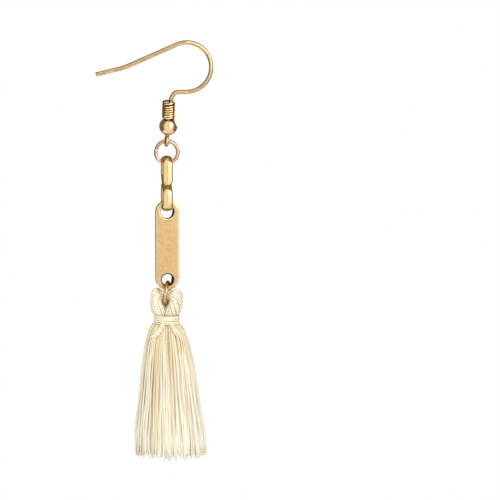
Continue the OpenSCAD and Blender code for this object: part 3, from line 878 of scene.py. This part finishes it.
# Inner edge, outer edge (across and up) and half the depth, as shares
HEAD_ROWS = np.array([
    (-0.10, -0.30, 0.56, -0.30, 0.60),
    (-0.12, -0.06, 0.68, -0.06, 0.76),
    (-0.12, 0.02, 0.78, 0.02, 0.85),
    (-0.11, 0.13, 0.91, 0.12, 0.96),
    (-0.02, 0.27, 0.99, 0.30, 1.00),
    (0.11, 0.40, 1.00, 0.55, 1.00),
    (0.16, 0.50, 0.94, 0.80, 0.93),
    (0.17, 0.53, 0.70, 0.97, 0.82),
    (0.12, 0.52, 0.42, 0.90, 0.66),
])
side = HEAD_ROWS * (HEAD_HALF_W, HEAD_H, HEAD_HALF_W, HEAD_H, HEAD_HALF_D)
head_way = np.vstack([side * (-1, 1, -1, 1, 1), [FOLD], side[::-1]])
rng = np.random.default_rng(7)


def turned_about(points, angle):
    """Points turned about the upright axis."""
    c, s = math.cos(angle), math.sin(angle)
    return np.column_stack([points[:, 0] * c - points[:, 1] * s,
                            points[:, 0] * s + points[:, 1] * c, points[:, 2]])


def head_thread(turn, depth, steps=96):
    """One thread of the head. Depth is 1 on the bundle's skin and 0 at its middle."""
    way = smooth(head_way, steps)
    u = np.linspace(-1, 1, steps)
    fan = np.clip((u - 0.05) / 0.85, 0, 1)
    angle = 2 * math.pi * turn + 0.2 * u + HEAD_FAN * fan**2 * (3 - 2 * fan)
    middle_x, middle_z = (way[:, 0] + way[:, 2]) / 2, (way[:, 1] + way[:, 3]) / 2
    across_x, across_z = (way[:, 2] - way[:, 0]) / 2, (way[:, 3] - way[:, 1]) / 2
    reach = np.hypot(across_x, across_z)
    inset = np.maximum(reach - HEAD_THREAD_R, 0.05) / reach * depth
    deep = np.maximum(way[:, 4] - HEAD_THREAD_R, 0.05) * depth
    points = np.column_stack([middle_x + inset * np.cos(angle) * across_x,
                              deep * np.sin(angle),
                              middle_z + inset * np.cos(angle) * across_z])
    away = points - np.column_stack([middle_x, 0 * middle_x, middle_z])
    away /= np.linalg.norm(away, axis=1)[:, None]
    wander = 0.03 * np.sin(u[:, None] * (9, 11, 7) + rng.uniform(0, 6, 3))
    return (turned_about(points + wander, HEAD_TURN) + (TASSEL_X, DROP_Y, NECK_TOP),
            turned_about(away, HEAD_TURN))


head_lines, head_shades = [], []
for count, depth in HEAD_LAYERS:
    for i in range(count):
        head_lines.append(head_thread((i + depth * 2 + rng.uniform(-0.2, 0.2)) / count,
                                      depth * rng.uniform(0.94, 1.0)))
        # Deeper threads get a darker shade: painted shade inside the bundle.
        head_shades.append(rng.uniform(0.55, 1.0) * (0.3 + 0.7 * depth))
head_paths, head_away = zip(*head_lines)
head = grow("tassel_head", thread_tree,
            lines("head_lines", head_paths, HEAD_THREAD_R, head_shades, head_away),
            Sides=8, Pitch=0.95, Material=thread_cotton)
keep(head, "tassel", "tassel_cotton", "tassel")

# %% [markdown]
# ## The skirt
# Below the binding the threads fall free. They leave the neck together, spread to about three times
# its width, and lean against each other in small locks, so that darker gaps run down between them.
# The hem was cut with scissors and has gone ragged. This is a rule with many repeats, so one tree
# makes it: a straight line is duplicated, and each copy is moved to its own way by sums of its
# number and of the share of its length.

# %% The tree that hangs the skirt
SKIRT_TOP, SKIRT_H, SKIRT_HALF_W, SKIRT_HALF_D = 0.2, 22.6, 6.1, 4.8
SKIRT_NECK, SKIRT_DRIFT, TUCK = 1.66, 0.6, 1.3
# Share of the way down, and share of the way out from the neck
SPREAD = [(0, 0.0), (0.012, 0.13), (0.03, 0.22), (0.06, 0.30), (0.09, 0.355), (0.13, 0.42),
          (0.17, 0.48), (0.24, 0.55), (0.33, 0.64), (0.54, 0.77), (0.72, 0.89), (0.88, 0.98),
          (1.0, 1.0)]

skirt_tree, _, given = new_tree(
    "tassel_skirt", Count=88, Steps=72, Sides=8, Length=SKIRT_H, Tuck=TUCK, Neck=SKIRT_NECK,
    HalfWidth=SKIRT_HALF_W - 0.2, HalfDepth=SKIRT_HALF_D - 0.2, Drift=SKIRT_DRIFT, Layer=1.0,
    Thread=0.17, Pitch=0.95, Locks=24.0, Clump=0.14, Short=0.035, Ragged=0.035, Seed=3, Tone=0.7,
    Fray=0.0, Material=None)
copies = build(skirt_tree, "GeometryNodeDuplicateElements", domain="SPLINE", named={
    "Geometry": straight(skirt_tree, -1, given["Steps"]), "Amount": given["Count"]})
number = Field(skirt_tree, copies.socket.node.outputs["Duplicate Index"])
share = build(skirt_tree, "GeometryNodeSplineParameter")


def chance(low, high, salt, by=number):
    """A random number for each thread, or for each lock."""
    return build(skirt_tree, "FunctionNodeRandomValue", data_type="FLOAT", named={
        "Min": low, "Max": high, "ID": by, "Seed": given["Seed"] + salt})


# Each thread's place round the neck, the lock it leans to, and the share of the way down
place = (number + chance(-0.4, 0.4, 1)) / given["Count"]
lock = (place * given["Locks"]).math("ROUND")
to_lock = lock / given["Locks"] - place
down = share * (given["Length"] + given["Tuck"]) - given["Tuck"]
down = (down / given["Length"]).math("MAXIMUM", 0)
widening = build(skirt_tree, "ShaderNodeFloatCurve", named={"Value": down})
spread_curve = widening.socket.node.mapping.curves[0]
for end, share_out in zip(spread_curve.points, (SPREAD[0], SPREAD[-1])):
    end.location = share_out
for x, y in SPREAD[1:-1]:
    spread_curve.points.new(x, y)
widening.socket.node.mapping.update()
# Locks close up on the way down, and inside a lock the threads at its sides stand back
turns = (place + to_lock * given["Clump"] * down + chance(-0.008, 0.008, 2, lock) * down
         + chance(-0.010, 0.010, 3) * down)
angle = turns * (2 * math.pi)
groove = (to_lock * given["Locks"] * 2).math("POWER", 2) * -0.04
stand = (chance(-0.05, 0.05, 4, lock) + chance(-0.06, 0.02, 5) + groove) * down + 1
wave = (share * chance(9, 17, 6) + chance(0, 6.3, 7)).sin() * 0.07
sway = (share * chance(9, 17, 8) + chance(0, 6.3, 9)).sin() * 0.07
sunk = chance(-0.7, 0.05, 14) * (widening * -1 + 1)
reach_x, reach_y = ((given["Neck"] + sunk + (given[half] - given["Neck"]) * widening * stand)
                    * given["Layer"] for half in ("HalfWidth", "HalfDepth"))
# The hem is cut a little higher at both sides
cut = chance(-1, 1, 10) * given["Ragged"] - given["Short"] - angle.cos().math("ABSOLUTE") * 0.015 + 1
drop = share * (given["Length"] * cut + given["Tuck"]) * -1
spot = build(skirt_tree, "ShaderNodeCombineXYZ",
             angle.cos() * reach_x + given["Drift"] * down + wave * down,
             angle.sin() * reach_y + sway * down, drop + given["Tuck"])
hung = build(skirt_tree, "GeometryNodeSetPosition", named={"Geometry": copies, "Position": spot})
# Threads get painted light towards the hem, on their colour and on their sides, and they thin out at
# their ends
tone = chance(-0.3, 0.3, 11) + chance(-0.2, 0.2, 13, lock) + down * 0.3 + given["Tone"] - 0.1
out_way = build(skirt_tree, "ShaderNodeCombineXYZ", angle.cos(), angle.sin())
hung = noted(skirt_tree, noted(skirt_tree, hung, "shade", tone), "away", out_way, "FLOAT_VECTOR")
thin_end = (share * -6 + 6.5).math("MINIMUM", 1)
frayed = given["Fray"] * (down.math("POWER", 3) - 1) + 1
thread_on(skirt_tree, hung, thin_end * frayed * given["Thread"], given["Sides"], given["Material"],
          given["Pitch"], chance(0, 6.3, 12), down.math("POWER", 2) * 0.7)

# %% Hang the skirt in layers
at_neck = Matrix.Translation((TASSEL_X, DROP_Y, NECK_LOW + SKIRT_TOP))
# A lower Tone paints shade on the deeper layers.
INSIDE = dict(Tone=0.5, Steps=40, Sides=6, Short=0.04)
LAYERS = {
    "tassel_skirt_outer": dict(),
    "tassel_skirt_second": dict(Layer=0.94, Count=96, Seed=21, Tone=0.55, Short=0.03),
    "tassel_skirt_middle": dict(Layer=0.80, Count=90, Seed=42, **INSIDE),
    "tassel_skirt_inner": dict(Layer=0.64, Count=74, Seed=63, **INSIDE),
    "tassel_skirt_deep": dict(Layer=0.48, Count=54, Seed=126, **INSIDE),
    "tassel_skirt_core": dict(Layer=0.30, Count=34, Seed=84, **INSIDE),
    "tassel_wisps": dict(Layer=1.0, Count=300, Seed=105, Tone=1.0, Steps=40, Sides=4,
                         Thread=0.14, Short=0.02, Ragged=0.03, Clump=0.05, Fray=0.8),
}
for name, values in LAYERS.items():
    hung = grow(name, skirt_tree, place=at_neck, Material=thread_cotton, **values)
    keep(hung, "tassel", "tassel_cotton", "tassel")

# %% [markdown]
# ## The binding
# The neck is bound with the same thread: five turns laid side by side, and the ends, which leave at
# the front as two small bands and lie on the skirt.

# %% Wind the binding
TURN_R, THREAD_D = 2.08, 0.30
# The binding starts and ends at the back
TURNS, BOUND_HIGH, BOUND_LOW, BOUND_START = 5.2, 1.64, 0.18, 1.3


def binding_line():
    """A helix round the neck, a little uneven and lower at the front."""
    a = np.linspace(0, 2 * math.pi * TURNS, int(90 * TURNS))
    z = BOUND_HIGH + (BOUND_LOW - BOUND_HIGH) * a / a[-1]
    z += 0.03 * np.sin(a * 1.3) + 0.05 * np.sin(a + BOUND_START + 3.9)
    r = TURN_R + 0.03 * np.sin(a * 2.1)
    a += BOUND_START
    return np.column_stack([TASSEL_X + r * np.cos(a), DROP_Y + r * np.sin(a), NECK_LOW + z])


def from_axis(path):
    """The way out of the neck at each point of a path."""
    flat_way = (path - (TASSEL_X, DROP_Y, 0)) * (1, 1, 0)
    return flat_way / np.linalg.norm(flat_way, axis=1)[:, None]


def over_skirt(turn, down, lift):
    """A point on the skirt's skin at a turn round it and a share of its length."""
    g = np.interp(down, *zip(*SPREAD))
    x = SKIRT_NECK + (SKIRT_HALF_W - SKIRT_NECK) * g + lift
    y = SKIRT_NECK + (SKIRT_HALF_D - SKIRT_NECK) * g + lift
    a = 2 * math.pi * turn
    return (TASSEL_X + x * math.cos(a) + SKIRT_DRIFT * down, DROP_Y + y * math.sin(a),
            NECK_LOW + SKIRT_TOP - SKIRT_H * down)


# Where each tail leaves the binding and where it lies down, as turns round the neck
TAILS = [(-0.315, -0.405, 0.27), (-0.298, -0.388, 0.30), (-0.281, -0.372, 0.25),
         (-0.228, -0.176, 0.24), (-0.213, -0.156, 0.27), (-0.198, -0.138, 0.22)]
tails = []
for first, last, length in TAILS:
    knots = [(first, -0.03, 0.10), (first + 0.25 * (last - first), 0.025, 0.34),
             (first + 0.6 * (last - first), 0.06, 0.30), (last, 0.11, 0.18),
             (last - 0.002, length * 0.8, 0.02), (last - 0.003, length, -0.35)]
    tails.append(smooth(np.array([over_skirt(*knot) for knot in knots]), 90))
for name, paths, shades, nodes in (
        ("binding_turns", [binding_line()], [0.9], ["tassel_binding"]),
        ("binding_ends", tails, [0.95, 1, 0.9, 1, 0.9, 0.95], [])):
    away = [from_axis(path) for path in paths]
    wound = grow(name, thread_tree, lines(name + "_lines", paths, THREAD_D / 2, shades, away),
                 Sides=10, Pitch=1.2, Material=binding_thread)
    keep(wound, "tassel", "binding_cotton", *nodes)
